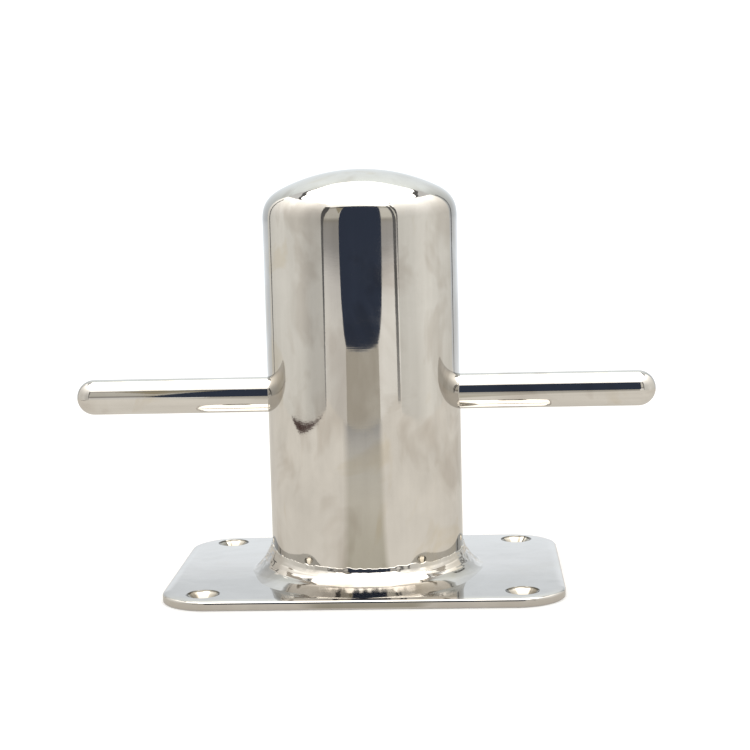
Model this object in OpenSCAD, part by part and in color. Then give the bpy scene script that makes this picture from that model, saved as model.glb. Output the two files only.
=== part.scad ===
// Single cross bollard for a small boat's deck, welded up from polished stainless steel.
// A flat plate carries an upright tube with a dished cap, and one straight bar passes
// through the tube to make both horns.
// Origin: underside of the deck plate, in its middle. +X along the cross bar, +Z up the post.

/* [Deck plate] */
// Width of the plate, along the cross bar
plate_w = 121; // [112:1:140]
// Depth of the plate, across the cross bar
plate_d = 88; // [84:1:120]
// Thickness of the plate
plate_t = 3; // [2.6:0.1:6]
// Radius of the plate's corners
corner_r = 15; // [4:0.5:17]
// Rounding of the plate's upper edge
top_edge_r = 1; // [0.4:0.1:1.2]
// Chamfer of the plate's lower edge
low_edge_c = 0.3; // [0.1:0.1:0.6]

/* [Screw holes] */
// Distance between hole centres along the width
hole_dx = 95; // [90:1:98]
// Distance between hole centres along the depth
hole_dy = 70; // [64:1:72]
// Diameter of the clearance holes, for M5 countersunk screws
hole_d = 5.3; // [4.3:0.1:6.4]
// Diameter of the countersinks at the plate's face
sink_d = 10; // [8:0.1:11.2]

/* [Post] */
// Outside diameter of the tube
post_d = 60; // [56:0.5:63.5]
// Wall thickness of the tube and of the cap
wall = 2; // [1.5:0.1:3]
// Height of the whole fitting above the deck
total_h = 127.5; // [110:0.5:150]

/* [Dished cap] */
// Outside radius of the shallow crown
crown_r = 51; // [46:0.5:70]
// Outside radius of the knuckle, between crown and skirt
knuckle_r = 9.4; // [5:0.1:14]
// Height of the cap's straight skirt
skirt_h = 5; // [3:0.5:12]

/* [Cross bar] */
// Diameter of the bar
bar_d = 11; // [8:0.5:14]
// Length of the bar over its ball ends
bar_l = 181; // [140:1:220]
// Height of the bar's axis above the deck
bar_z = 58; // [45:0.5:75]
// Clearance all round the bar in the tube's drilled holes
bar_gap = 0.1; // [0.05:0.05:0.3]

/* [Welds] */
// Height of the foot weld on the post
foot_h = 7; // [4:0.5:8]
// Reach of the foot weld over the plate
foot_w = 6; // [4.5:0.5:10]
// Depth of the foot weld's hollow, below a flat face
foot_hollow = 0.9; // [0.5:0.1:1.5]
// Leg length of the seal welds where the bar leaves the post
bar_leg = 0.8; // [0.6:0.1:2]
// Width of the cap's butt weld at the outer face
seam_w = 3; // [2:0.2:4]
// Width of the cap's butt weld at the inner face
seam_root_w = 1; // [0.4:0.2:1.6]
// Radius of the bead that the butt weld leaves inside the tube
root_bead_r = 1.2; // [0.8:0.1:1.5]

/* [Hidden] */
$fn = 180;

post_r = post_d / 2;
bore_r = post_r - wall;
bar_r = bar_d / 2;

// The cap: the crown is a sphere about the axis, and the knuckle is a ring inside it that
// touches both the crown and the skirt.
crown_z = total_h - crown_r;
knuckle_x = post_r - knuckle_r;
knuckle_z = crown_z + sqrt(pow(crown_r - knuckle_r, 2) - pow(knuckle_x, 2));
crown_angle = asin(knuckle_x / (crown_r - knuckle_r));
seam_z = knuckle_z - skirt_h;

// A countersink for a 90 degree head widens as fast as it rises.
sink_h = (sink_d - hole_d) / 2;

steel = "gainsboro";
weld_steel = "silver";

// ---- Deck plate ----

// Section through the plate's rim, from the corner's axis out to the edge
module rim_section() {
    polygon([[0, 0], [corner_r - low_edge_c, 0], [corner_r, low_edge_c],
             [corner_r, plate_t - top_edge_r], [corner_r - top_edge_r, plate_t], [0, plate_t]]);
    translate([corner_r - top_edge_r, plate_t - top_edge_r]) circle(top_edge_r);
}

// A straight rim of the given length, running along Y with its edge towards +X
module straight_rim(length) {
    translate([0, length / 2, 0])
        rotate([90, 0, 0])
            linear_extrude(length)
                rim_section();
}

module plate_blank() {
    flat_w = plate_w - 2 * corner_r;
    flat_d = plate_d - 2 * corner_r;
    translate([-flat_w / 2, -flat_d / 2, 0]) cube([flat_w, flat_d, plate_t]);
    for (side = [0, 180]) {
        rotate(side) translate([flat_w / 2, 0, 0]) straight_rim(flat_d);
        rotate(side + 90) translate([flat_d / 2, 0, 0]) straight_rim(flat_w);
    }
    for (sx = [0, 1], sy = [0, 1])
        mirror([sx, 0, 0]) mirror([0, sy, 0])
            translate([flat_w / 2, flat_d / 2, 0])
                rotate_extrude(angle = 90) rim_section();
}

module countersunk_hole() {
    over = 1;
    translate([0, 0, -over]) cylinder(d = hole_d, h = plate_t + 2 * over);
    translate([0, 0, plate_t - sink_h])
        cylinder(d1 = hole_d, d2 = sink_d + 2 * over, h = sink_h + over);
}

module base_plate() {
    color(steel)
        difference() {
            plate_blank();
            for (sx = [-1, 1], sy = [-1, 1])
                translate([sx * hole_dx / 2, sy * hole_dy / 2, 0]) countersunk_hole();
        }
}

// ---- Post ----

// Half the width of the cap's butt weld at radius x: narrow inside, wide outside
function seam_half(x) = (seam_root_w + (seam_w - seam_root_w) * (x - bore_r) / wall) / 2;

module post_tube() {
    color(steel)
        difference() {
            rotate_extrude()
                polygon([[bore_r, plate_t], [post_r, plate_t],
                         [post_r, seam_z - seam_half(post_r)],
                         [bore_r, seam_z - seam_half(bore_r)]]);
            translate([0, 0, bar_z])
                rotate([0, 90, 0])
                    cylinder(r = bar_r + bar_gap, h = post_d + 2 * wall, center = true);
        }
}

// Half section of a solid dished head, shrunk by inset on every side
module head_section(inset) {
    reach = 1.3 * crown_r;
    intersection() {
        translate([0, crown_z]) circle(crown_r - inset);
        polygon([[0, crown_z],
                 [reach * sin(crown_angle), crown_z + reach * cos(crown_angle)],
                 [0, crown_z + reach]]);
    }
    translate([knuckle_x, knuckle_z]) circle(knuckle_r - inset);
    polygon([[0, seam_z - seam_w], [post_r - inset, seam_z - seam_w],
             [post_r - inset, knuckle_z], [0, knuckle_z]]);
}

module dome_cap() {
    below = seam_z - 2 * seam_w;
    color(steel)
        rotate_extrude()
            difference() {
                head_section(0);
                head_section(wall);
                polygon([[0, below], [post_r + wall, below],
                         [post_r + wall, seam_z + seam_half(post_r + wall)],
                         [bore_r - wall, seam_z + seam_half(bore_r - wall)],
                         [0, seam_z - seam_w]]);
            }
}

// ---- Cross bar ----

module cross_bar() {
    straight = bar_l - bar_d;
    color(steel)
        translate([0, 0, bar_z]) {
            rotate([0, 90, 0]) cylinder(r = bar_r, h = straight, center = true);
            for (sx = [-1, 1])
                translate([sx * straight / 2, 0, 0]) sphere(r = bar_r);
        }
}

// ---- Welds ----

// Hollow-faced fillet between post and plate
module foot_weld() {
    face = norm([foot_w, foot_h]);
    hollow_r = (pow(face / 2, 2) + pow(foot_hollow, 2)) / (2 * foot_hollow);
    centre = [foot_w, foot_h] / 2 + [foot_h, foot_w] * (hollow_r - foot_hollow) / face;
    color(weld_steel)
        rotate_extrude()
            translate([post_r, plate_t])
                difference() {
                    polygon([[0, 0], [foot_w, 0], [0, foot_h]]);
                    translate(centre) circle(hollow_r);
                }
}

// Vee-shaped butt weld, ground flush outside, with its root bead left inside
module cap_seam_weld() {
    color(weld_steel)
        rotate_extrude()
            translate([0, seam_z]) {
                polygon([[bore_r, -seam_half(bore_r)], [post_r, -seam_half(post_r)],
                         [post_r, seam_half(post_r)], [bore_r, seam_half(bore_r)]]);
                difference() {
                    translate([bore_r, 0]) circle(root_bead_r);
                    translate([bore_r, -wall]) square(2 * wall);
                }
            }
}

// Seal weld round the bar, against the outside of the post, on the +X side
module bar_weld() {
    depth = 2;
    color(weld_steel)
        difference() {
            translate([post_r - depth, 0, bar_z])
                rotate([0, 90, 0])
                    cylinder(r1 = bar_r + bar_leg + depth, r2 = bar_r, h = bar_leg + depth);
            translate([0, 0, bar_z])
                rotate([0, 90, 0])
                    cylinder(r = bar_r, h = bar_l, center = true);
            cylinder(r = post_r, h = total_h);
        }
}

module bar_weld_left() {
    mirror([1, 0, 0]) bar_weld();
}

module bar_weld_right() {
    bar_weld();
}

base_plate();
post_tube();
dome_cap();
cross_bar();
foot_weld();
cap_seam_weld();
bar_weld_left();
bar_weld_right();
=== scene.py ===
import math

import bpy
from mathutils import Matrix, Vector, noise
from mathutils.geometry import delaunay_2d_cdt


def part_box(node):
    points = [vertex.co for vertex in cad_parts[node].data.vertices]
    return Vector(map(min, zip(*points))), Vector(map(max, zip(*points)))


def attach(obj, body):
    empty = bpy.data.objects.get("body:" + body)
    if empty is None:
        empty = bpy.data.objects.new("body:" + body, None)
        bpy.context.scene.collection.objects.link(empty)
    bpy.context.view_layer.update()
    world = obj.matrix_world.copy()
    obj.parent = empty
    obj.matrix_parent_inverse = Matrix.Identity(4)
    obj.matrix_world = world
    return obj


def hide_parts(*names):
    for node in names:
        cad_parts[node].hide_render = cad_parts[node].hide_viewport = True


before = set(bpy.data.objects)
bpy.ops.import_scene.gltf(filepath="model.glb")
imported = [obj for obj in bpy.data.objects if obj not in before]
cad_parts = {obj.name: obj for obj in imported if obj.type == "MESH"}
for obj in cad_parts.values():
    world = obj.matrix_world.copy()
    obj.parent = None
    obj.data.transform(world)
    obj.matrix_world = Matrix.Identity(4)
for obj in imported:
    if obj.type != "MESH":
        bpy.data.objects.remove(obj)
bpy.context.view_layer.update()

MM = 0.001
TAU = 2 * math.pi

# ---------------------------------------------------------------- sizes
# What the frame's boxes give, in metres.

plate_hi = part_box("base_plate")[1]
tube_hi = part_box("post_tube")[1]
cap_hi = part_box("dome_cap")[1]
bar_lo, bar_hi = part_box("cross_bar")

PLATE_HALF_W = plate_hi.x
PLATE_HALF_D = plate_hi.y
PLATE_T = plate_hi.z
POST_R = tube_hi.x
SEAM_LOW_Z = tube_hi.z
TOP_Z = cap_hi.z
BAR_R = (bar_hi.z - bar_lo.z) / 2
BAR_Z = (bar_hi.z + bar_lo.z) / 2
BAR_HALF = bar_hi.x

# What they don't give. The corners, holes, wall and cap have the part's own values. The plate's
# edges and the blend from knuckle to crown are drawn softer here than in the part.
CORNER_R = 15 * MM
TOP_EDGE_R = 0.9 * MM
ROLL_R = 11 * MM
ROLL_DEG = 12
LOW_EDGE_R = 0.5 * MM
HOLE_X = 47.5 * MM
HOLE_Y = 35 * MM
HOLE_R = 2.65 * MM
SINK_R = 5 * MM
HOLE_EDGE_R = 0.15 * MM
SINK_LIP_R = 0.25 * MM
SINK_CREASE = 0.04 * MM
WALL = 2 * MM
BORE_R = POST_R - WALL
CROWN_R = 51 * MM
KNUCKLE_R = 9.4 * MM
SKIRT_H = 5 * MM
KNUCKLE_BLEND = 5 * MM
SEAM_HALF_OUT = 1.5 * MM
SEAM_HALF_IN = 0.5 * MM

SEAM_Z = SEAM_LOW_Z - SEAM_HALF_IN
KNUCKLE_Z = SEAM_Z + SKIRT_H

# ---------------------------------------------------------------- profiles
# A profile is a list of (r, z, nr, nz): a point of the half section and its outward normal.
# It is walked with the metal on the right, so down the outside of a post.


def run(start, end, steps):
    """A straight stretch of profile, both ends included."""
    dr, dz = end[0] - start[0], end[1] - start[1]
    length = math.hypot(dr, dz)
    nr, nz = -dz / length, dr / length
    points = []
    for i in range(steps + 1):
        t = i / steps
        points.append((start[0] + dr * t, start[1] + dz * t, nr, nz))
    return points


def on_axis(profile):
    """A profile with both its ends set exactly on the axis: the first faces up, the last down."""
    (_, first_z), (_, last_z) = profile[0][:2], profile[-1][:2]
    return [(0, first_z, 0, 1)] + profile[1:-1] + [(0, last_z, 0, -1)]


def bend(centre, radius, from_deg, to_deg, steps):
    """An arc of profile. It is convex if its angle falls, and hollow if it rises."""
    side = 1 if to_deg < from_deg else -1
    points = []
    for i in range(steps + 1):
        a = math.radians(from_deg + (to_deg - from_deg) * i / steps)
        c, s = math.cos(a), math.sin(a)
        points.append((centre[0] + radius * c, centre[1] + radius * s, side * c, side * s))
    return points


def chain(*parts):
    """Profile parts joined into one. Where two meet there is one point, with the first's normal."""
    points = []
    for part in parts:
        for p in part:
            if not points or math.dist(p[:2], points[-1][:2]) > 1e-7:
                points.append(p)
    return points


# ---------------------------------------------------------------- meshes


def add_piece(name, points, normals, faces, node, material):
    """Makes a piece with its own exact normals, which stands for a CAD node."""
    mesh = bpy.data.meshes.new(name)
    mesh.from_pydata(points, [], faces)
    mesh.polygons.foreach_set("use_smooth", [True] * len(mesh.polygons))
    mesh.normals_split_custom_set_from_vertices(normals)
    mesh.materials.append(material)
    piece = bpy.data.objects.new(name, mesh)
    bpy.context.scene.collection.objects.link(piece)
    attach(piece, "root")
    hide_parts(node)
    return piece


def strips(rows, flip=False):
    """Faces between rows of point numbers. Each row closes on itself."""
    faces = []
    for upper, lower in zip(rows, rows[1:]):
        for j in range(len(upper)):
            k = (j + 1) % len(upper)
            corners = list(dict.fromkeys([upper[j], lower[j], lower[k], upper[k]]))
            if len(corners) > 2:
                faces.append(corners[::-1] if flip else corners)
    return faces


def lathe(profile, segments, closed):
    """Turns a profile about Z. A closed one makes a ring. An open one has both ends on the axis."""
    points, normals, rows = [], [], []
    for r, z, nr, nz in profile:
        first = len(points)
        if r < 1e-7:
            points.append(Vector((0, 0, z)))
            normals.append(Vector((0, 0, math.copysign(1, nz))))
            rows.append([first] * segments)
            continue
        for j in range(segments):
            c, s = math.cos(TAU * j / segments), math.sin(TAU * j / segments)
            points.append(Vector((r * c, r * s, z)))
            normals.append(Vector((nr * c, nr * s, nz)))
        rows.append(range(first, first + segments))
    if closed:
        rows.append(rows[0])
    return points, normals, strips(rows)


def ripple(points, normals, depth):
    """Moves each point along its normal by depth(point), and tilts the normals to suit."""
    step = 0.05 * MM
    moved, tilted = [], []
    for p, n in zip(points, normals):
        side = n.orthogonal().normalized()
        other = n.cross(side)
        here = depth(p)
        slope_a = (depth(p + side * step) - here) / step
        slope_b = (depth(p + other * step) - here) / step
        moved.append(p + n * here)
        tilted.append((n - side * slope_a - other * slope_b).normalized())
    return moved, tilted


def swell(p, size, seed):
    """Smooth noise from about -1 to 1, with lumps of the given size."""
    return noise.noise(p / size + Vector((seed, 1.7 * seed, -seed)))


def around_x(vectors):
    """Turns what was made about Z so that it lies about X."""
    return [Vector((v.z, v.x, v.y)) for v in vectors]


# ---------------------------------------------------------------- plate

PLATE_WAVE = 0.012 * MM
FLAT_PITCH = 2.2 * MM
RIM_PITCH = 2.5 * MM
CORNER_STEPS = 24
HOLE_STEPS = 64
HOLE_CENTRES = [Vector((sx * HOLE_X, sy * HOLE_Y)) for sx in (-1, 1) for sy in (-1, 1)]


def plate_rim():
    """Spots round the plate: the centre of the corner's arc there, and the way out."""
    flat_x, flat_y = PLATE_HALF_W - CORNER_R, PLATE_HALF_D - CORNER_R
    corners = [Vector((flat_x, flat_y)), Vector((-flat_x, flat_y)),
               Vector((-flat_x, -flat_y)), Vector((flat_x, -flat_y))]
    spots = []
    for i, corner in enumerate(corners):
        for k in range(CORNER_STEPS + 1):
            a = math.radians(90 * (i + k / CORNER_STEPS))
            spots.append((corner, Vector((math.cos(a), math.sin(a)))))
        after = corners[(i + 1) % 4]
        last_way = spots[-1][1]
        count = round((after - corner).length / RIM_PITCH)
        for k in range(1, count):
            spots.append((corner.lerp(after, k / count), last_way))
    return spots


def hole_rim():
    turns = [TAU * k / HOLE_STEPS for k in range(HOLE_STEPS)]
    return [Vector((math.cos(turn), math.sin(turn))) for turn in turns]


def inner_points(outline, hole_r):
    """Points at an even pitch inside an outline, clear of it and of the holes."""
    points = []
    margin = 0.55 * FLAT_PITCH
    row_pitch = 0.87 * FLAT_PITCH
    reach_x = max(p.x for p in outline)
    reach_y = max(p.y for p in outline)
    rows = int(reach_y / row_pitch)
    cols = int(reach_x / FLAT_PITCH)
    for i in range(-rows, rows + 1):
        for j in range(-cols - 1, cols + 1):
            p = Vector(((j + 0.5 * (i % 2)) * FLAT_PITCH, i * row_pitch))
            clear = all((p - centre).length >= hole_r + margin for centre in HOLE_CENTRES)
            if clear and within_rounded(p, reach_x - margin, reach_y - margin):
                points.append(p)
    return points


def flat_with_holes(outline, hole_loops, hole_r):
    """Triangles between an outline and round holes. A triangle across a hole isn't kept."""
    flat, edges, loop_of = [], [], {}
    for number, loop in enumerate([outline] + hole_loops):
        first = len(flat)
        flat.extend(loop)
        edges.extend((first + i, first + (i + 1) % len(loop)) for i in range(len(loop)))
        loop_of.update((first + i, number) for i in range(len(loop)))
    flat.extend(inner_points(outline, hole_r))
    made = delaunay_2d_cdt(flat, edges, [], 1, 1e-7)
    triangles, origins = made[2], made[3]
    order = {i: source[0] for i, source in enumerate(origins) if source}
    kept = []
    for tri in triangles:
        corners = [order[i] for i in tri]
        loops = {loop_of.get(i, 0) for i in corners}
        if len(loops) > 1 or loops == {0}:
            kept.append(corners)
    return flat, kept


def within_rounded(p, half_w, half_d):
    """Whether a point is inside a rectangle that is rounded about the plate's corner centres."""
    dx = abs(p.x) - (PLATE_HALF_W - CORNER_R)
    dy = abs(p.y) - (PLATE_HALF_D - CORNER_R)
    radius = half_w - (PLATE_HALF_W - CORNER_R)
    if dx > 0 and dy > 0:
        return math.hypot(dx, dy) < radius
    return abs(p.x) < half_w and abs(p.y) < half_d


def plate_wave(p):
    return PLATE_WAVE * (swell(p, 38 * MM, 3.1) + 0.35 * swell(p, 14 * MM, 8.4))


def plate_edge():
    """The plate's edge, out from a corner's centre: it rolls off, turns down and turns back in."""
    roll = math.radians(ROLL_DEG)
    bend_r = CORNER_R - TOP_EDGE_R
    bend_z = PLATE_T - ROLL_R + (ROLL_R - TOP_EDGE_R) * math.cos(roll)
    roll_r = bend_r - (ROLL_R - TOP_EDGE_R) * math.sin(roll)
    low_r = CORNER_R - LOW_EDGE_R
    return chain(bend((roll_r, PLATE_T - ROLL_R), ROLL_R, 90, 90 - ROLL_DEG, 6),
                 bend((bend_r, bend_z), TOP_EDGE_R, 90 - ROLL_DEG, 0, 9),
                 bend((low_r, LOW_EDGE_R), LOW_EDGE_R, 0, -90, 6))


def hole_section():
    """A screw hole's side, from its countersink's worn lip down to the underside."""
    cut = SINK_LIP_R * math.tan(math.radians(22.5))
    cut_in = cut * math.sqrt(0.5)
    sink_floor = PLATE_T - (SINK_R - HOLE_R)
    section = chain(bend((HOLE_R + HOLE_EDGE_R, HOLE_EDGE_R), HOLE_EDGE_R, 270, 180, 4),
                    run((HOLE_R, HOLE_EDGE_R), (HOLE_R, sink_floor - SINK_CREASE), 3),
                    run((HOLE_R + SINK_CREASE, sink_floor + SINK_CREASE),
                        (SINK_R - cut_in, PLATE_T - cut_in), 10),
                    bend((SINK_R + cut, PLATE_T - SINK_LIP_R), SINK_LIP_R, 135, 90, 5))
    section.reverse()
    return section


def flat_side(rim, circle, edge_r, hole_r, z, up):
    """One flat side of the plate. Its points start with the rim's loop and then each hole's."""
    outline = [centre + way * edge_r for centre, way in rim]
    hole_loops = [[centre + way * hole_r for way in circle] for centre in HOLE_CENTRES]
    flat, triangles = flat_with_holes(outline, hole_loops, hole_r)
    points = [Vector((p.x, p.y, z)) for p in flat]
    normals = [Vector((0, 0, 1 if up else -1))] * len(flat)
    return points, normals, triangles if up else [tri[::-1] for tri in triangles]


def wall_rows(points, normals, spots, profile, first, last):
    """Rows of point numbers down a profile, from the top's loop to the underside's. It adds the
    points between them."""
    count = len(spots)
    rows = [range(first, first + count)]
    for r, z, nr, nz in profile[1:-1]:
        rows.append(range(len(points), len(points) + count))
        for centre, way in spots:
            spot = centre + way * r
            points.append(Vector((spot.x, spot.y, z)))
            normals.append(Vector((way.x * nr, way.y * nr, nz)))
    rows.append(range(last, last + count))
    return rows


def build_plate(material):
    rim, circle = plate_rim(), hole_rim()
    edge, hole = plate_edge(), hole_section()
    points, normals, faces = flat_side(rim, circle, edge[0][0], hole[0][0], PLATE_T, True)
    under = flat_side(rim, circle, edge[-1][0], hole[-1][0], 0, False)
    low = len(points)
    points += under[0]
    normals += under[1]
    faces += [[low + i for i in tri] for tri in under[2]]
    faces += strips(wall_rows(points, normals, rim, edge, 0, low))
    start = len(rim)
    for centre in HOLE_CENTRES:
        spots = [(centre, way) for way in circle]
        faces += strips(wall_rows(points, normals, spots, hole, start, low + start), flip=True)
        start += len(circle)
    points, normals = ripple(points, normals, plate_wave)
    return add_piece("deck_plate", points, normals, faces, "base_plate",
                     material)


# ---------------------------------------------------------------- post and cap

TUBE_WAVE = 0.010 * MM
SEGMENTS = 288


def tube_wave(p):
    """Long lengthwise waves from drawing and polishing, and a few shallow swells."""
    along = Vector((p.x, p.y, 0.22 * p.z))
    return TUBE_WAVE * (swell(along, 16 * MM, 5.2) + 0.25 * swell(p, 9 * MM, 2.6))


def build_tube(material):
    profile = chain(run((POST_R, SEAM_Z - SEAM_HALF_OUT), (POST_R, PLATE_T), 60),
                    run((POST_R, PLATE_T), (BORE_R, PLATE_T), 2),
                    run((BORE_R, PLATE_T), (BORE_R, SEAM_Z - SEAM_HALF_IN), 20),
                    run((BORE_R, SEAM_Z - SEAM_HALF_IN), (POST_R, SEAM_Z - SEAM_HALF_OUT), 2))
    profile.pop()
    points, normals, faces = lathe(profile, SEGMENTS, True)
    points, normals = ripple(points, normals, tube_wave)
    return add_piece("post_barrel", points, normals, faces, "post_tube",
                     material)


def spun_dome(turn, steps):
    """The cap's outer half section down to the skirt, with its two radii run into each other."""
    crown_len = CROWN_R * turn
    total_len = crown_len + KNUCKLE_R * (math.pi / 2 - turn)
    samples = 40 * steps
    ds = (total_len + KNUCKLE_BLEND) / samples

    def bend_rate(s):
        low, high = s - KNUCKLE_BLEND / 2, s + KNUCKLE_BLEND / 2
        crown_part = max(0.0, min(high, crown_len) - low)
        knuckle_part = max(0.0, min(high, total_len) - max(low, crown_len))
        return (crown_part / CROWN_R + knuckle_part / KNUCKLE_R) / KNUCKLE_BLEND

    r, drop, lean = 0.0, 0.0, 0.0
    walked = [(r, drop, lean)]
    for i in range(samples):
        rate = bend_rate((i + 0.5) * ds)
        lean_mid = lean + rate * ds / 2
        r += math.cos(lean_mid) * ds
        drop += math.sin(lean_mid) * ds
        lean += rate * ds
        walked.append((r, drop, lean))
    fit_r, fit_z = POST_R / r, (TOP_Z - KNUCKLE_Z + KNUCKLE_BLEND / 2) / drop
    points = []
    for r, drop, lean in walked[::samples // steps]:
        points.append((r * fit_r, TOP_Z - drop * fit_z, math.sin(lean), math.cos(lean)))
    return points


def build_cap(material):
    crown_z = TOP_Z - CROWN_R
    knuckle_x = POST_R - KNUCKLE_R
    turn = math.degrees(math.asin(knuckle_x / (CROWN_R - KNUCKLE_R)))
    skirt_top = (POST_R, KNUCKLE_Z - KNUCKLE_BLEND / 2)
    outside = chain(spun_dome(math.radians(turn), 110),
                    run(skirt_top, (POST_R, SEAM_Z + SEAM_HALF_OUT), 3))
    inside = chain(run((BORE_R, SEAM_Z + SEAM_HALF_IN), (BORE_R, KNUCKLE_Z), 3),
                   bend((knuckle_x, KNUCKLE_Z), KNUCKLE_R - WALL, 0, 90 - turn, 12),
                   bend((0, crown_z), CROWN_R - WALL, 90 - turn, 90, 12))
    points, normals, faces = lathe(on_axis(outside + inside), SEGMENTS, False)
    points, normals = ripple(points, normals, tube_wave)
    return add_piece("cap", points, normals, faces, "dome_cap", material)


def build_seam(material):
    profile = chain(run((POST_R, SEAM_Z + SEAM_HALF_OUT), (POST_R, SEAM_Z - SEAM_HALF_OUT), 4),
                    run((POST_R, SEAM_Z - SEAM_HALF_OUT), (BORE_R, SEAM_Z - SEAM_HALF_IN), 2),
                    bend((BORE_R, SEAM_Z), SEAM_HALF_IN, 270, 90, 8),
                    run((BORE_R, SEAM_Z + SEAM_HALF_IN), (POST_R, SEAM_Z + SEAM_HALF_OUT), 2))
    profile.pop()
    points, normals, faces = lathe(profile, SEGMENTS, True)
    points, normals = ripple(points, normals, tube_wave)
    return add_piece("cap_seam", points, normals, faces, "cap_seam_weld", material)


# ---------------------------------------------------------------- cross bar

BAR_WAVE = 0.005 * MM
BAR_SEGMENTS = 96


def bar_wave(p):
    return BAR_WAVE * swell(Vector((0.3 * p.x, p.y, p.z)), 7 * MM, 4.4)


def build_bar(material):
    straight = BAR_HALF - BAR_R
    profile = chain(bend((0, straight), BAR_R, 90, 0, 24),
                    run((BAR_R, straight), (BAR_R, -straight), 90),
                    bend((0, -straight), BAR_R, 0, -90, 24))
    points, normals, faces = lathe(on_axis(profile), BAR_SEGMENTS, False)
    points = [p + Vector((0, 0, BAR_Z)) for p in around_x(points)]
    points, normals = ripple(points, around_x(normals), bar_wave)
    return add_piece("horn_bar", points, normals, faces, "cross_bar",
                     material)


# ---------------------------------------------------------------- foot weld

FOOT_AROUND = 960
BURY = 0.3 * MM
# The bead's section at the sides and at the front, in stretches from the post to the plate:
# length in mm, which way the face looks at its start and end in degrees above level, and steps.
# It starts with a lip laid over the post. At the front its foot was ground to a long soft slope.
SIDE_SECTION = [(0.5, 88, 28, 5), (0.45, 20, 20, 4), (0.3, 20, 32, 4), (4.0, 32, 44, 30),
                (2.8, 44, 60, 22), (0.8, 60, 82, 8), (0.5, 82, 89, 6)]
FRONT_SECTION = [(0.4, 88, 12, 5), (0.75, 12, 12, 4), (0.35, 12, 34, 4), (3.4, 34, 52, 30),
                 (2.5, 52, 72, 22), (3.0, 75.5, 79.3, 8), (4.6, 79.3, 83.6, 6)]
SECTION_STEPS = sum(stretch[3] for stretch in SIDE_SECTION)


def around(angle):
    """Where an angle is on a unit circle, as a place to read noise. Angles are 0 at the front and
    grow towards +X."""
    return Vector((math.cos(angle), math.sin(angle), 0))


def smooth(low, high, at):
    """0 up to low, 1 from high, and an easy curve between."""
    t = min(1.0, max(0.0, (at - low) / (high - low)))
    return t * t * (3 - 2 * t)


def front_share(angle):
    """1 where the bead has its front section, 0 where it has its side section."""
    return 1 - smooth(34, 76, off_front(angle))


def off_front(angle):
    """How far round from the front an angle is, in degrees, to either side."""
    return abs(math.degrees(math.remainder(angle, TAU)))


def bead_section(angle):
    """The bead's section at an angle, as (out, up) in metres from the post and the plate."""
    share = front_share(angle)
    out, drop = 0.0, 0.0
    walked = [(out, drop)]
    for side, front in zip(SIDE_SECTION, FRONT_SECTION):
        length, start, end = (a + (b - a) * share for a, b in zip(side[:3], front[:3]))
        if side is SIDE_SECTION[-1]:
            end += (89.5 - end) * smooth(8, 30, off_front(angle))
        steps = side[3]
        for i in range(steps):
            look = math.radians(start + (end - start) * (i + 0.5) / steps)
            out += math.sin(look) * length / steps
            drop += math.cos(look) * length / steps
            walked.append((out, drop))
    wide = 1 + 0.06 * noise.noise(around(angle) * 2.3 + Vector((4, 4, 9)))
    tall = toe_height(angle) / drop
    return [(x * wide * MM, (drop - z) * tall) for x, z in walked]


def hump(at, centre, width):
    """1 at the centre, falling away over about the width on both sides."""
    return math.exp(-((at - centre) / width) ** 2)


def toe_height(angle):
    """How far the bead climbs the post: more at the back, and most in a pile at the left."""
    left_pile = hump(angle, -1.45, 0.45) + hump(angle - TAU, -1.45, 0.45)
    even = 5.95 + 0.85 * (1 - math.cos(angle)) + 1.9 * left_pile
    rough = 0.30 * noise.noise(around(angle) * 5 + Vector((2, 7, 1)))
    return (even + rough) * MM


def lip_lumps(angle, across):
    """Small lumps of weld metal along the bead's lip, where it laps onto the post."""
    lumps = 0.9 * max(0.0, noise.noise(around(angle) * 11 + Vector((5, 1, 3))))
    lumps += 0.16 * noise.noise(around(angle) * 27 + Vector((8, 3, 1)))
    return lumps * (1 - smooth(0.05, 0.24, across)) * MM


# Grooves between weld passes: where across the bead, how that drifts towards the sides, depth in
# mm at the front and at the sides, and the seed of the wandering.
CREASES = ((0.31, -0.06, 0.022, 0.09, 2.0),
           (0.32, 0.14, 0.0, 0.09, 5.0),
           (0.66, -0.16, 0.0, 0.06, 9.0))


def bead_creases(angle, across):
    """The grooves' depth. They run along the bead, and fade where it was polished most."""
    flank = abs(math.sin(angle)) ** 1.5
    total = 0.0
    for place, drift, front, side, seed in CREASES:
        wander = 0.045 * noise.noise(around(angle) * 3.5 + Vector((seed, 1, seed)))
        patchy = 0.75 + 1.1 * noise.noise(around(angle) * 4 + Vector((seed, seed, 4)))
        depth = front + (side - front) * flank
        total += max(0.15, patchy) * depth * hump(across, place + drift * flank + wander, 0.026)
    return total


def bead_relief(angle, across):
    """What the bead's face adds to its smooth section, in metres: waves, lumps and creases."""
    flank = abs(math.sin(angle)) ** 2 + max(0.0, -math.cos(angle))
    flank = min(1.0, 0.10 + 0.9 * flank)
    turn = math.remainder(angle, TAU)
    pile = hump(across, 0.30, 0.26)
    piles = pile * (0.42 * hump(turn, -1.46, 0.20) + 0.20 * hump(turn, 1.52, 0.22))
    lump_at = around(angle) * 8 + Vector((6, 2, 5.0 * across))
    waves = 0.22 * noise.noise(around(angle) * 2.6 + Vector((1, 5, 3.2 * across)))
    waves += 0.10 * noise.noise(lump_at) + piles * noise.noise(lump_at * 2.1)
    edge = math.sin(math.pi * min(1.0, max(0.0, across))) ** 0.7
    edge *= 1 - 0.9 * smooth(0.80, 0.86, across)
    return edge * (flank * waves - bead_creases(angle, across)) * MM


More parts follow.
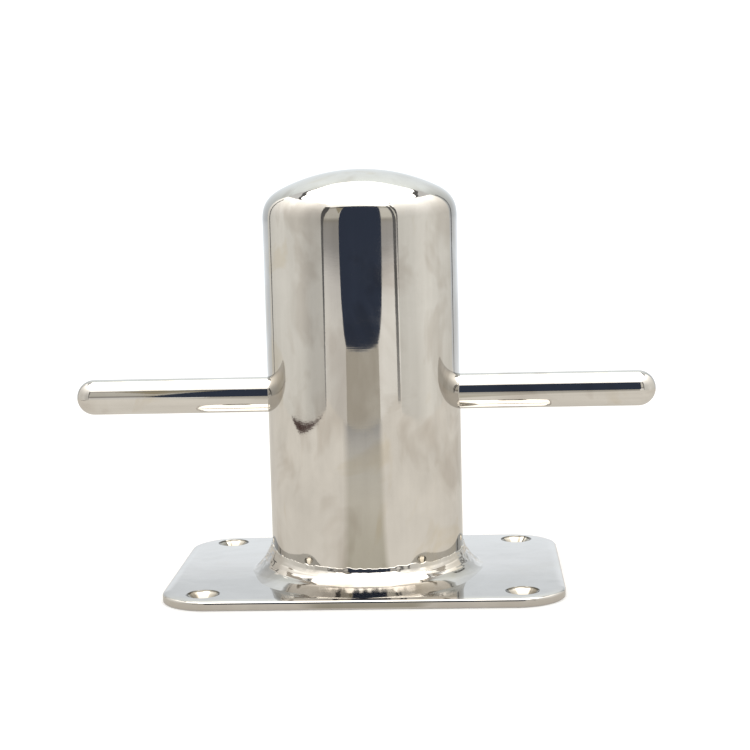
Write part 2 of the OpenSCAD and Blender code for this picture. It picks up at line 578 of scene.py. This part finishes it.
def bead_grid(angles, ways):
    """The bead's face: a row of points round the post for each step of its section."""
    grid = [[] for _ in range(SECTION_STEPS + 1)]
    for angle, way in zip(angles, ways):
        for i, (out, up) in enumerate(bead_section(angle)):
            across = i / SECTION_STEPS
            relief = bead_relief(angle, across)
            r = POST_R + out + relief * 0.75 - 0.05 * MM * (1 - across)
            tuck = 0.02 * across + 0.13 * front_share(angle) * smooth(0.93, 1, across)
            z = PLATE_T + up + relief * 0.65 - tuck * MM + lip_lumps(angle, across)
            grid[i].append(way * r + Vector((0, 0, z)))
    return grid


def grid_normals(grid):
    """Each point's normal, from its neighbours in a grid whose rows close on themselves."""
    normals = []
    for i, row in enumerate(grid):
        above, below = grid[max(0, i - 1)], grid[min(len(grid) - 1, i + 1)]
        for j in range(len(row)):
            along = row[(j + 1) % len(row)] - row[j - 1]
            normals.append((below[j] - above[j]).cross(along).normalized())
    return normals


def build_foot(material):
    angles = [TAU * j / FOOT_AROUND for j in range(FOOT_AROUND)]
    ways = [Vector((math.sin(angle), -math.cos(angle), 0)) for angle in angles]
    grid = bead_grid(angles, ways)
    normals = grid_normals(grid) + [Vector((0, 0, -1))] * FOOT_AROUND + [-way for way in ways] * 2
    outer, corner, upper = [], [], []
    for toe, lip, way in zip(grid[-1], grid[0], ways):
        reach = toe - way * BURY
        outer.append(Vector((reach.x, reach.y, PLATE_T - BURY)))
        corner.append(way * (POST_R - BURY) + Vector((0, 0, PLATE_T - BURY)))
        upper.append(way * (POST_R - BURY) + Vector((0, 0, lip.z - BURY)))
    grid += [outer, corner, upper]
    points = [p for row in grid for p in row]
    rows = [range(i * FOOT_AROUND, (i + 1) * FOOT_AROUND) for i in range(len(grid))]
    return add_piece("foot_bead", points, normals, strips(rows + rows[:1]), "foot_weld",
                     material)


# ---------------------------------------------------------------- bar welds

SEAL_STEPS = 16
SEAL_AROUND = 240
SEAL_LEG = 0.22 * MM
SEAL_SINK = 0.03 * MM
SEAL_DEPTH = 0.4 * MM


def on_post(side, r, turn, out):
    """A point at radius r from the bar's axis, at a distance out from the post's surface."""
    y, up = r * math.cos(turn), r * math.sin(turn)
    return Vector((side * (math.sqrt(POST_R ** 2 - y ** 2) + out), y, BAR_Z + up))


def seal_point(turn, across, side):
    """A point of the seal bead: across is 0 on the bar and 1 on the post."""
    ring = Vector((math.cos(turn), math.sin(turn), 3.0 * side))
    leg = SEAL_LEG * (1 + 0.18 * noise.noise(ring * 2.2) + 0.08 * noise.noise(ring * 7))
    lean = math.radians(90 * across)
    out = leg * (1 - math.sin(lean)) - SEAL_SINK * across
    r = BAR_R + leg * (1 - math.cos(lean)) - SEAL_SINK * (1 - across)
    return on_post(side, r, turn, out)


def build_seal(name, node, side, material):
    points, normals = [], []
    step = 1e-3
    turns = [TAU * j / SEAL_AROUND for j in range(SEAL_AROUND)]
    for i in range(SEAL_STEPS + 1):
        across = i / SEAL_STEPS
        above, below = max(0.0, across - step), min(1.0, across + step)
        for turn in turns:
            along = seal_point(turn + step, across, side) - seal_point(turn - step, across, side)
            down = seal_point(turn, below, side) - seal_point(turn, above, side)
            points.append(seal_point(turn, across, side))
            normals.append((down.cross(along) * side).normalized())
    for r in (BAR_R + 0.8 * SEAL_LEG, BAR_R - BURY):
        points.extend(on_post(side, r, turn, -SEAL_DEPTH) for turn in turns)
        normals.extend([Vector((-side, 0, 0))] * SEAL_AROUND)
    rows = [range(i, i + SEAL_AROUND) for i in range(0, len(points), SEAL_AROUND)]
    faces = strips(rows + rows[:1], flip=side < 0)
    return add_piece(name, points, normals, faces, node, material)


# ---------------------------------------------------------------- materials


class Nodes:
    """Short names for building a node material."""

    def __init__(self, name):
        self.material = bpy.data.materials.new(name)
        self.material.use_nodes = True
        self.tree = self.material.node_tree
        self.tree.nodes.clear()

    def add(self, kind, inputs=None, **settings):
        node = self.tree.nodes.new(kind)
        for key, value in settings.items():
            setattr(node, key, value)
        for key, value in (inputs or {}).items():
            if isinstance(value, bpy.types.NodeSocket):
                self.tree.links.new(value, node.inputs[key])
            else:
                node.inputs[key].default_value = value
        return node

    def ramp(self, factor, stops):
        node = self.add("ShaderNodeValToRGB", {"Fac": factor})
        ramp = node.color_ramp
        for spot, shade in stops[2:]:
            ramp.elements.new(spot)
        for element, (spot, shade) in zip(ramp.elements, stops):
            element.position = spot
            element.color = shade if len(shade) == 4 else (*shade, 1)
        return node.outputs["Color"]

    def noise(self, vector, scale, detail=2.0, roughness=0.5, distortion=0.0):
        node = self.add("ShaderNodeTexNoise", {"Vector": vector, "Scale": scale, "Detail": detail,
                                               "Roughness": roughness, "Distortion": distortion})
        return node.outputs["Fac"]

    def math(self, operation, a, b):
        node = self.add("ShaderNodeMath", operation=operation)
        for socket, value in zip(node.inputs, (a, b)):
            if isinstance(value, bpy.types.NodeSocket):
                self.tree.links.new(value, socket)
            else:
                socket.default_value = value
        return node.outputs[0]

    def multiply(self, a, b):
        node = self.add("ShaderNodeMix", data_type="RGBA", blend_type="MULTIPLY")
        node.inputs["Factor"].default_value = 1.0
        colours = [socket for socket in node.inputs if socket.type == "RGBA"]
        self.tree.links.new(a, colours[0])
        self.tree.links.new(b, colours[1])
        return next(socket for socket in node.outputs if socket.type == "RGBA")

    def stretched(self, vector, scale, turn=(0, 0, 0)):
        node = self.add("ShaderNodeMapping", {"Vector": vector, "Scale": scale, "Rotation": turn})
        return node.outputs["Vector"]


EDGE_TINT = (0.82, 0.82, 0.82, 1)
CLEAN = (1, 1, 1)
# Each pair is dark and light.
STEEL_TINT = ((0.585, 0.56, 0.525), (0.65, 0.625, 0.59))
WELD_TINT = ((0.55, 0.52, 0.48), (0.64, 0.61, 0.57))
# Each pair is the grey and the brownish smudges.
SMUDGES = ((0.86, 0.84, 0.82), (0.95, 0.92, 0.86))
FAINT_SMUDGES = ((0.96, 0.96, 0.96), (0.99, 0.985, 0.97))


def clouded_tint(n, cloud, lines, cloudy, tint):
    """The steel's colour, from dark to light by clouds and streaks."""
    dark, light = tint
    middle = tuple((a + b) / 2 for a, b in zip(light, dark))
    mixed = n.math("ADD", n.math("MULTIPLY", cloud, cloudy), n.math("MULTIPLY", lines, 1 - cloudy))
    return n.ramp(mixed, [(0.34, dark), (0.5, middle), (0.64, light)])


def smudged(n, where, smudges):
    grey, brownish = smudges
    smear = n.noise(n.stretched(where, (1, 1, 0.7)), 55, 3, 0.55, 0.6)
    return n.ramp(smear, [(0.36, grey), (0.47, CLEAN), (0.6, CLEAN), (0.68, brownish)])


def wiped_haze(n, where, grain, base, more):
    """Roughness: a polished base, and haze left by wiping, in streaky patches."""
    wiped = n.ramp(n.noise(grain, 130, 4, 0.65, 0.3), [(0.42, (0, 0, 0)), (0.72, (1, 1, 1))])
    prints = n.ramp(n.noise(where, 30, 4, 0.7, 1.4), [(0.46, (0, 0, 0)), (0.64, (1, 1, 1))])
    rough = n.math("MULTIPLY_ADD", n.math("MULTIPLY", wiped, prints), more)
    rough.node.inputs[2].default_value = base
    return rough


def fine_marks(n, where, cloud, lines):
    """A normal with hairline scratches in two directions, over a slight waviness."""
    hair_a = n.noise(n.stretched(where, (1, 1, 0.02), (0.5, 0.35, 0.2)), 2200, 1)
    hair_b = n.noise(n.stretched(where, (0.02, 1, 1), (0.1, 0.4, -0.7)), 1900, 1)
    scratches = n.add("ShaderNodeBump", {"Height": n.math("ADD", hair_a, hair_b),
                                         "Strength": 0.06, "Distance": 2e-5})
    swirl = n.math("ADD", n.math("MULTIPLY", lines, 0.5), cloud)
    wavy = n.add("ShaderNodeBump", {"Height": swirl, "Strength": 0.25, "Distance": 3e-5,
                                    "Normal": scratches.outputs["Normal"]})
    return wavy.outputs["Normal"]


def darker_low_edge(n, where):
    """The lower part of the plate's edge is darker in colour than its top."""
    height = n.add("ShaderNodeSeparateXYZ", {"Vector": where}).outputs["Z"]
    return n.ramp(n.math("MULTIPLY", height, 100), [
        (0, (0.70, 0.69, 0.68)), (0.19, (0.80, 0.79, 0.78)), (0.235, CLEAN)])


def hole_shade_and_rim(n, where):
    """Painted shade in the screw holes: dark where the table closes them from below, a darker
    countersink cone, and a thin dark ring at the rim.
    """
    parts = n.add("ShaderNodeSeparateXYZ", {"Vector": where})
    far_x = n.math("SUBTRACT", n.math("ABSOLUTE", parts.outputs["X"], 0), HOLE_X)
    far_y = n.math("SUBTRACT", n.math("ABSOLUTE", parts.outputs["Y"], 0), HOLE_Y)
    squares = n.math("ADD", n.math("MULTIPLY", far_x, far_x), n.math("MULTIPLY", far_y, far_y))
    ring = n.math("MULTIPLY_ADD", n.noise(where, 420, 2), 0.0007)
    n.tree.links.new(n.math("SQRT", squares, 0), ring.node.inputs[2])
    # Painted shade: dark in the hole, lighter up the cone, a thin dark ring at the rim, then the
    # steel's own colour.
    return n.ramp(n.math("MULTIPLY", ring, 100), [
        (0.26, (0.10, 0.09, 0.08)), (0.31, (0.62, 0.60, 0.55)), (0.48, (0.78, 0.76, 0.71)),
        (0.51, (0.18, 0.17, 0.15)), (0.53, (0.18, 0.17, 0.15)), (0.555, CLEAN)])


def steel(name, streak, cloudy, rough, haze, tint=STEEL_TINT, smudges=SMUDGES, with_holes=False):
    """Mirror-polished stainless: an uneven warm tint, streaks along the grain, smudges, wiped-on
    haze and hairline scratches. Streak is the noise's scale along each axis."""
    n = Nodes(name)
    where = n.add("ShaderNodeTexCoord").outputs["Object"]
    grain = n.stretched(where, streak)
    cloud = n.noise(where, 42, 5, 0.62, 0.8)
    lines = n.noise(grain, 230, 3, 0.6)
    colour = n.multiply(clouded_tint(n, cloud, lines, cloudy, tint), smudged(n, where, smudges))
    # The plate also gets a darker low edge, and painted shade in its screw holes with a thin dark
    # ring at their rims.
    if with_holes:
        colour = n.multiply(n.multiply(colour, darker_low_edge(n, where)), hole_shade_and_rim(n, where))
    shader = n.add("ShaderNodeBsdfPrincipled", {
        "Base Color": colour, "Metallic": 1.0, "Specular Tint": EDGE_TINT,
        "Roughness": wiped_haze(n, where, grain, rough, haze),
        "Normal": fine_marks(n, where, cloud, lines)})
    n.add("ShaderNodeOutputMaterial", {"Surface": shader.outputs["BSDF"]})
    return n.material


# ---------------------------------------------------------------- stage
# A small white light tent: cloth sides, back and ceiling, and a dark doorway in a front screen.
# The camera doesn't see it. Colours are light levels, where 1 shows as white.

TENT_FRONT_LEFT = -0.318
TENT_FRONT_RIGHT = -0.279
TENT_BACK = 0.38
TENT_HALF = 0.412
TENT_TOP = 0.54
SCREEN_Y = -0.36
SCREEN_HALF = 0.60
SCREEN_TOP = 0.56
DOOR_LEFT, DOOR_RIGHT = -0.133, 0.184
DOOR_LOW, DOOR_TOP = 0.038, 0.400
DOOR_LEAN = 0.027
# Round the doorway's lower corners, and at its top.
DOOR_ROUND_LEFT, DOOR_ROUND_RIGHT, DOOR_ROUND_UP = 0.042, 0.062, 0.046
DOOR_ROUND_TOP = 0.03

# The cloths' light by height, from low up.
SIDE_LEVELS = [(0, (0.95, 0.93, 0.87)), (0.05, (0.98, 0.97, 0.92)), (0.13, (0.99, 0.98, 0.93)),
               (0.2, (1.15, 1.13, 1.08)), (0.3, (1.5, 1.48, 1.41)), (0.42, (2.1, 2.08, 2.0)),
               (0.54, (2.6, 2.57, 2.48))]
BACK_LEVELS = [(0, (1.25, 1.3, 1.36)), (0.05, (1.15, 1.21, 1.27)), (0.078, (1.25, 1.33, 1.41)),
               (0.093, (1.15, 1.21, 1.28)), (0.102, (0.97, 1.03, 1.09)),
               (0.22, (1.12, 1.19, 1.23)), (0.5, (1.3, 1.38, 1.37))]
SCREEN_LEVELS = [(0, (1.0, 0.98, 0.93)), (0.045, (1.02, 1.0, 0.95)), (0.068, (0.90, 0.88, 0.85)),
                 (0.086, (0.46, 0.45, 0.44)), (0.115, (0.42, 0.40, 0.36)),
                 (0.15, (0.76, 0.74, 0.67)), (0.33, (0.80, 0.78, 0.72)),
                 (0.365, (0.52, 0.50, 0.44)), (0.40, (0.50, 0.48, 0.43)),
                 (0.41, (2.0, 1.98, 1.92))]
SEAM_LEVELS = [(0, (0.45, 0.44, 0.42)), (0.06, (0.16, 0.16, 0.16)), (0.5, (0.1, 0.1, 0.1))]
# And how it changes along them: a place on the axis, and a factor.
LEFT_SPREAD = ("Y", [(-0.32, 0.72), (-0.22, 0.78), (-0.12, 0.97), (0.1, 1.0), (0.38, 0.9)])
RIGHT_SPREAD = ("Y", [(-0.28, 0.88), (-0.16, 0.95), (-0.06, 1.08), (0.1, 1.0), (0.38, 0.95)])
BACK_SPREAD = ("X", [(-0.4, 0.68), (-0.28, 0.78), (-0.12, 1.0), (0.12, 1.0), (0.28, 0.76),
                     (0.4, 0.66)])
SCREEN_SPREAD = ("X", [(-0.6, 1.0), (-0.13, 0.9), (0.18, 1.1), (0.6, 1.1)])

TABLE_TONE = (1.0, 0.96, 0.885)
DOORWAY_DARK = (0.042, 0.054, 0.086)
CEILING_GLOW = (4.0, 3.96, 3.84)
CEILING_DIM = (0.85, 0.86, 0.86)
ROOF_FOLD = (0.16, 0.16, 0.16)
SHADED_CLOTH = (0.42, 0.38, 0.29)
# Painted shade on the screen below the doorway.
SHADE_BELOW_DOOR = (0.60, 0.57, 0.50)
FLOOR_GAP = (0.10, 0.065, 0.06)


QUAD = [(0, 1, 2, 3)]


def stage_mesh(name, points, faces, material, seen=False):
    mesh = bpy.data.meshes.new(name)
    mesh.from_pydata(points, [], faces)
    mesh.materials.append(material)
    thing = bpy.data.objects.new(name, mesh)
    bpy.context.scene.collection.objects.link(thing)
    if not seen:
        thing.visible_camera = False
        thing.visible_diffuse = False
        thing.visible_shadow = False
    return thing


def cloth(name, levels, spread=None, mottle=0.0):
    """Lit cloth. Levels say how its light changes with height, and spread how it changes along an
    axis. Mottle is how uneven the cloth looks."""
    n = Nodes(name)
    where = n.add("ShaderNodeTexCoord").outputs["Object"]
    parts = n.add("ShaderNodeSeparateXYZ", {"Vector": where})
    reach = levels[-1][0]
    peak = max(max(colour) for _, colour in levels)
    stops = [(z / reach, tuple(c / peak for c in colour)) for z, colour in levels]
    shade = n.ramp(n.math("DIVIDE", parts.outputs["Z"], reach), stops)
    if spread:
        axis, places = spread
        first, last = places[0][0], places[-1][0]
        span = n.math("DIVIDE", n.math("SUBTRACT", parts.outputs[axis], first), last - first)
        stops = [((at - first) / (last - first), (factor,) * 3) for at, factor in places]
        shade = n.multiply(shade, n.ramp(span, stops))
    if mottle:
        cloud = n.noise(where, 9, 3, 0.6)
        shade = n.multiply(shade, n.ramp(cloud, [(0.3, (1 - mottle,) * 3), (0.7, (1, 1, 1))]))
    shader = n.add("ShaderNodeEmission", {"Color": shade, "Strength": peak})
    n.add("ShaderNodeOutputMaterial", {"Surface": shader.outputs["Emission"]})
    return n.material


def plain(name, colour):
    """A card of one even light level."""
    n = Nodes(name)
    shader = n.add("ShaderNodeEmission", {"Color": (*colour, 1), "Strength": 1.0})
    n.add("ShaderNodeOutputMaterial", {"Surface": shader.outputs["Emission"]})
    return n.material


def curtain(name, spots, high, material):
    """Upright cloth that follows spots on the floor."""
    points = [(x, y, z) for z in (0, high) for x, y in spots]
    count = len(spots)
    faces = [(i, i + 1, count + i + 1, count + i) for i in range(count - 1)]
    return stage_mesh(name, points, faces, material)


def side_spots(side, front):
    """Spots on the floor along a tent side, which curves in towards the front."""
    steps = 10
    spots = []
    for i in range(steps + 1):
        y = front + (TENT_BACK - front) * i / steps
        spots.append((side * (TENT_HALF - 0.41 * max(0.0, 0.2 - y) ** 1.69), y))
    return spots


def door_outline():
    """The doorway's outline in the screen: its lower corners are round, and its left side leans."""
    steps = 10
    top_left = DOOR_LEFT + DOOR_LEAN
    corners = [(DOOR_LEFT, 1, DOOR_ROUND_LEFT, DOOR_LOW, 1, DOOR_ROUND_UP),
               (DOOR_RIGHT, -1, DOOR_ROUND_RIGHT, DOOR_LOW, 1, DOOR_ROUND_UP),
               (DOOR_RIGHT, -1, DOOR_ROUND_TOP, DOOR_TOP, -1, DOOR_ROUND_TOP),
               (top_left, 1, 0.004, DOOR_TOP, -1, 0.004)]
    edge = []
    for number, (x, way_x, round_x, z, way_z, round_z) in enumerate(corners):
        for i in range(steps + 1):
            t = i / steps if number % 2 == 0 else 1 - i / steps
            a = math.pi / 2 * t
            edge.append((x + way_x * round_x * (1 - math.cos(a)),
                         z + way_z * round_z * (1 - math.sin(a))))
    return edge


def build_screen(material):
    """The front screen, with the doorway left out."""
    edge = door_outline()
    outer = [(-SCREEN_HALF, -0.02), (SCREEN_HALF, -0.02), (SCREEN_HALF, SCREEN_TOP),
             (-SCREEN_HALF, SCREEN_TOP)]
    count = len(edge)
    sides = [(i, (i + 1) % 4) for i in range(4)]
    sides += [(4 + i, 4 + (i + 1) % count) for i in range(count)]
    made = delaunay_2d_cdt([Vector(p) for p in outer + edge], sides, [], 1, 1e-7)
    flat, triangles = made[0], made[2]
    faces = []
    for tri in triangles:
        middle = sum((flat[i] for i in tri), Vector((0, 0))) / 3
        if not in_loop(middle, edge):
            faces.append(tri)
    stage_mesh("front_screen", [(p.x, SCREEN_Y, p.y) for p in flat], faces, material)


def in_loop(p, loop):
    """Whether a point is inside a closed loop of points."""
    inside = False
    for (x0, y0), (x1, y1) in zip(loop, loop[1:] + loop[:1]):
        if (y0 > p.y) != (y1 > p.y) and p.x < x0 + (x1 - x0) * (p.y - y0) / (y1 - y0):
            inside = not inside
    return inside


def roof_reach(a):
    """How far the lit roof reaches, by the way round from the front. It is less at the two back
    corners."""
    front = max(0.0, math.cos(a))
    return 0.395 + 0.09 * front ** 2 - 0.06 * hump(abs(math.remainder(a, TAU)), 2.2, 0.25)


def square(half, front, back, z):
    """Four corners of a level card."""
    return [(-half, front, z), (half, front, z), (half, back, z), (-half, back, z)]


def build_ceiling():
    """The lit roof, and dim cloth above and around it."""
    steps = 120
    points = [(0, 0, TENT_TOP)]
    for i in range(steps):
        a = TAU * i / steps
        points.append((roof_reach(a) * math.sin(a), -roof_reach(a) * math.cos(a), TENT_TOP))
    faces = [(0, 1 + i, 1 + (i + 1) % steps) for i in range(steps)]
    stage_mesh("ceiling_light", points, faces, plain("ceiling_glow", CEILING_GLOW))
    cloth_above = square(SCREEN_HALF, -SCREEN_HALF, SCREEN_HALF, TENT_TOP + 0.02)
    stage_mesh("ceiling_cloth", cloth_above, QUAD, plain("ceiling_dim", CEILING_DIM))
    fold = plain("roof_fold", ROOF_FOLD)
    build_roof_fold("roof_fold_left", -1, 1.55, 2.75, 0.045, fold)
    build_roof_fold("roof_fold_right", 1, 1.75, 2.65, 0.055, fold)


def build_roof_fold(name, side, start, end, wide, material):
    """A dark crescent where the lit roof meets a side, from one way round to another."""
    steps = 30
    points = []
    for i in range(steps + 1):
        t = i / steps
        a = start + (end - start) * t
        thick = wide * math.sin(math.pi * t) ** 0.8 + 0.002
        for r in (roof_reach(a) - 0.3 * thick, roof_reach(a) + 0.7 * thick):
            points.append((side * r * math.sin(a), -r * math.cos(a), TENT_TOP - 0.002))
    faces = [(2 * i, 2 * i + 1, 2 * i + 3, 2 * i + 2) for i in range(steps)]
    stage_mesh(name, points, faces, material)


def pole(name, foot, lean, width, material, head_width=None):
    """A narrow dark strip where cloth meets a tent pole, facing the post."""
    away = Vector((*foot, 0))
    across = Vector((-away.y, away.x, 0)).normalized() * width / 2
    head = across * (head_width or width) / width
    top = away + Vector((*lean, 0.42))
    points = [away - across, away + across, top + head, top - head]
    stage_mesh(name, [tuple(p) for p in points], QUAD, material)


def build_lane():
    """The doorway's soft dark reflection on the table in front. Only the steel shows it."""
    n = Nodes("lane")
    where = n.add("ShaderNodeTexCoord").outputs["Object"]
    parts = n.add("ShaderNodeSeparateXYZ", {"Vector": where})
    ahead = n.math("MULTIPLY", parts.outputs["Y"], -1.0)
    turn = n.math("ARCTAN2", parts.outputs["X"], ahead)
    cover = n.ramp(n.math("ADD", turn, 0.5), [
        (0.11, (0, 0, 0)), (0.24, (1, 1, 1)), (0.82, (1, 1, 1)), (0.92, (0, 0, 0))])
    tone = n.ramp(ahead, [(0.03, (0.60, 0.57, 0.48)), (0.10, (0.64, 0.61, 0.52)),
                          (0.17, (0.72, 0.69, 0.61)), (0.25, (0.66, 0.64, 0.58)),
                          (0.32, (0.56, 0.55, 0.53)), (0.36, (0.42, 0.425, 0.42))])
    light = n.add("ShaderNodeEmission", {"Color": tone, "Strength": 1.0})
    clear = n.add("ShaderNodeBsdfTransparent")
    mixed = n.add("ShaderNodeMixShader", {"Fac": cover})
    n.tree.links.new(clear.outputs[0], mixed.inputs[1])
    n.tree.links.new(light.outputs[0], mixed.inputs[2])
    n.add("ShaderNodeOutputMaterial", {"Surface": mixed.outputs[0]})
    z = 0.0006
    points = [(-0.03, -0.03, z), (0.03, -0.03, z), (0.20, -0.355, z), (-0.20, -0.355, z)]
    stage_mesh("table_lane", points, [(3, 2, 1, 0)], n.material)


def build_table_tone():
    """How the table shows in the steel: warmer and a touch dimmer than it looks, and uneven."""
    tone = cloth("table_tone", [(0, TABLE_TONE), (1, TABLE_TONE)], None, 0.12)
    stage_mesh("table_tone", square(0.45, SCREEN_Y, TENT_BACK, 0.0003), QUAD, tone)


def build_walls():
    """The cloth sides and back, and the front screen."""
    left, right = side_spots(-1, TENT_FRONT_LEFT), side_spots(1, TENT_FRONT_RIGHT)
    left_cloth = cloth("side_left_cloth", SIDE_LEVELS, LEFT_SPREAD, 0.07)
    right_cloth = cloth("side_right_cloth", SIDE_LEVELS, RIGHT_SPREAD, 0.07)
    back_cloth = cloth("back_cloth", BACK_LEVELS, BACK_SPREAD)
    curtain("tent_left", left, TENT_TOP, left_cloth)
    curtain("tent_right", right, TENT_TOP, right_cloth)
    curtain("tent_back", [left[-1], right[-1]], TENT_TOP + 0.02, back_cloth)
    build_screen(cloth("screen_cloth", SCREEN_LEVELS, SCREEN_SPREAD, 0.08))


def build_doorway(seam):
    """The dark beyond the doorway, and the rail, shaded cloth and a card of painted shade below it
    at its edges.
    """
    behind, lip = SCREEN_Y - 0.01, SCREEN_Y + 0.003
    top_left = DOOR_LEFT + DOOR_LEAN
    beyond = [(-0.2, behind, 0.02), (0.25, behind, 0.02),
              (0.25, behind, 0.42), (-0.2, behind, 0.42)]
    stage_mesh("doorway", beyond, QUAD, plain("doorway_dark", DOORWAY_DARK))
    rail = [(-0.18, lip, 0.402), (-0.18, lip, 0.385),
            (top_left, lip, 0.335), (top_left, lip, 0.402)]
    stage_mesh("door_rail", rail, QUAD, seam)
    shade = [(-0.18, lip, 0.385), (DOOR_LEFT, lip, 0.20), (top_left, lip, 0.336)]
    stage_mesh("door_shade", shade, [(0, 1, 2)], plain("shaded_cloth", SHADED_CLOTH))
    # A dim card of painted shade on the screen below the doorway.
    below_door = [(-0.105, lip, 0), (0.14, lip, 0), (0.135, lip, DOOR_LOW), (-0.10, lip, DOOR_LOW)]
    stage_mesh("shade_below_door", below_door, QUAD, plain("shade_below_door", SHADE_BELOW_DOOR))


def build_poles(seam):
    pole("pole_left", (-0.282, -0.322), (0.02, -0.02), 0.013, seam, 0.10)
    pole("pole_right_inner", (0.310, -0.322), (-0.03, -0.03), 0.026, seam)
    pole("pole_right_outer", (0.318, -0.280), (-0.03, -0.03), 0.022, seam)
    pole("pole_back_left", (-0.395, 0.28), (0, 0), 0.02, seam)
    pole("pole_back_right", (0.34, 0.37), (0, 0), 0.02, seam)


def build_tent():
    seam = cloth("tent_seam", SEAM_LEVELS)
    build_walls()
    build_ceiling()
    build_doorway(seam)
    build_poles(seam)
    gap = [(-0.408, 0.032, 0.0008), (-0.322, -0.077, 0.0008), (-0.279, -0.292, 0.0008)]
    stage_mesh("floor_gap", gap, [(0, 1, 2)], plain("floor_gap", FLOOR_GAP))
    build_table_tone()
    build_lane()


def build_floor():
    n = Nodes("table_top")
    where = n.add("ShaderNodeTexCoord").outputs["Object"]
    tone = n.ramp(n.noise(where, 6, 3), [(0.3, (0.80, 0.79, 0.78)), (0.7, (0.82, 0.815, 0.80))])
    shader = n.add("ShaderNodeBsdfPrincipled", {
        "Base Color": tone, "Roughness": 0.55, "Emission Color": (1, 0.99, 0.97, 1),
        "Emission Strength": 0.24})
    n.add("ShaderNodeOutputMaterial", {"Surface": shader.outputs["BSDF"]})
    stage_mesh("table", square(3.0, -3.0, 3.0, 0), QUAD, n.material, seen=True)


def build_world():
    world = bpy.data.worlds.new("studio")
    bpy.context.scene.world = world
    world.use_nodes = True
    background = world.node_tree.nodes["Background"]
    background.inputs["Color"].default_value = (1, 1, 1, 1)
    background.inputs["Strength"].default_value = 1.15


# ---------------------------------------------------------------- camera

CAMERA_AT = Vector((32.9, -543.15, 131.27)) * MM
CAMERA_YAW = -0.054
CAMERA_PITCH = 0.124
CAMERA_ROLL = -0.025
CAMERA_LENS = 84.34


def build_camera():
    data = bpy.data.cameras.new("camera")
    data.lens = CAMERA_LENS
    data.sensor_width = 36
    camera = bpy.data.objects.new("camera", data)
    bpy.context.scene.collection.objects.link(camera)
    level_ahead = Vector((math.sin(CAMERA_YAW), math.cos(CAMERA_YAW), 0))
    right = Vector((math.cos(CAMERA_YAW), -math.sin(CAMERA_YAW), 0))
    up = Vector((0, 0, 1))
    ahead = level_ahead * math.cos(CAMERA_PITCH) - up * math.sin(CAMERA_PITCH)
    above = level_ahead * math.sin(CAMERA_PITCH) + up * math.cos(CAMERA_PITCH)
    rolled_right = right * math.cos(CAMERA_ROLL) + above * math.sin(CAMERA_ROLL)
    rolled_up = above * math.cos(CAMERA_ROLL) - right * math.sin(CAMERA_ROLL)
    turned = Matrix((rolled_right, rolled_up, -ahead)).transposed()
    camera.matrix_world = Matrix.Translation(CAMERA_AT) @ turned.to_4x4()
    bpy.context.scene.camera = camera


# ---------------------------------------------------------------- make everything

bright_steel = steel("bright_steel", (1, 1, 0.08), 0.6, 0.035, 0.09)
plate_steel = steel("plate_steel", (0.3, 1, 1), 0.7, 0.05, 0.08, smudges=FAINT_SMUDGES,
                    with_holes=True)
bar_steel = steel("bar_steel", (0.08, 1, 1), 0.5, 0.04, 0.06)
weld_steel = steel("weld_steel", (1, 1, 1), 0.5, 0.07, 0.10, tint=WELD_TINT)

build_plate(plate_steel)
build_tube(bright_steel)
build_cap(bright_steel)
build_seam(bright_steel)
build_bar(bar_steel)
build_foot(weld_steel)
build_seal("bar_seal_left", "bar_weld_left", -1, weld_steel)
build_seal("bar_seal_right", "bar_weld_right", 1, weld_steel)
build_tent()
build_floor()
build_world()
build_camera()
bpy.context.scene.view_settings.view_transform = "Standard"
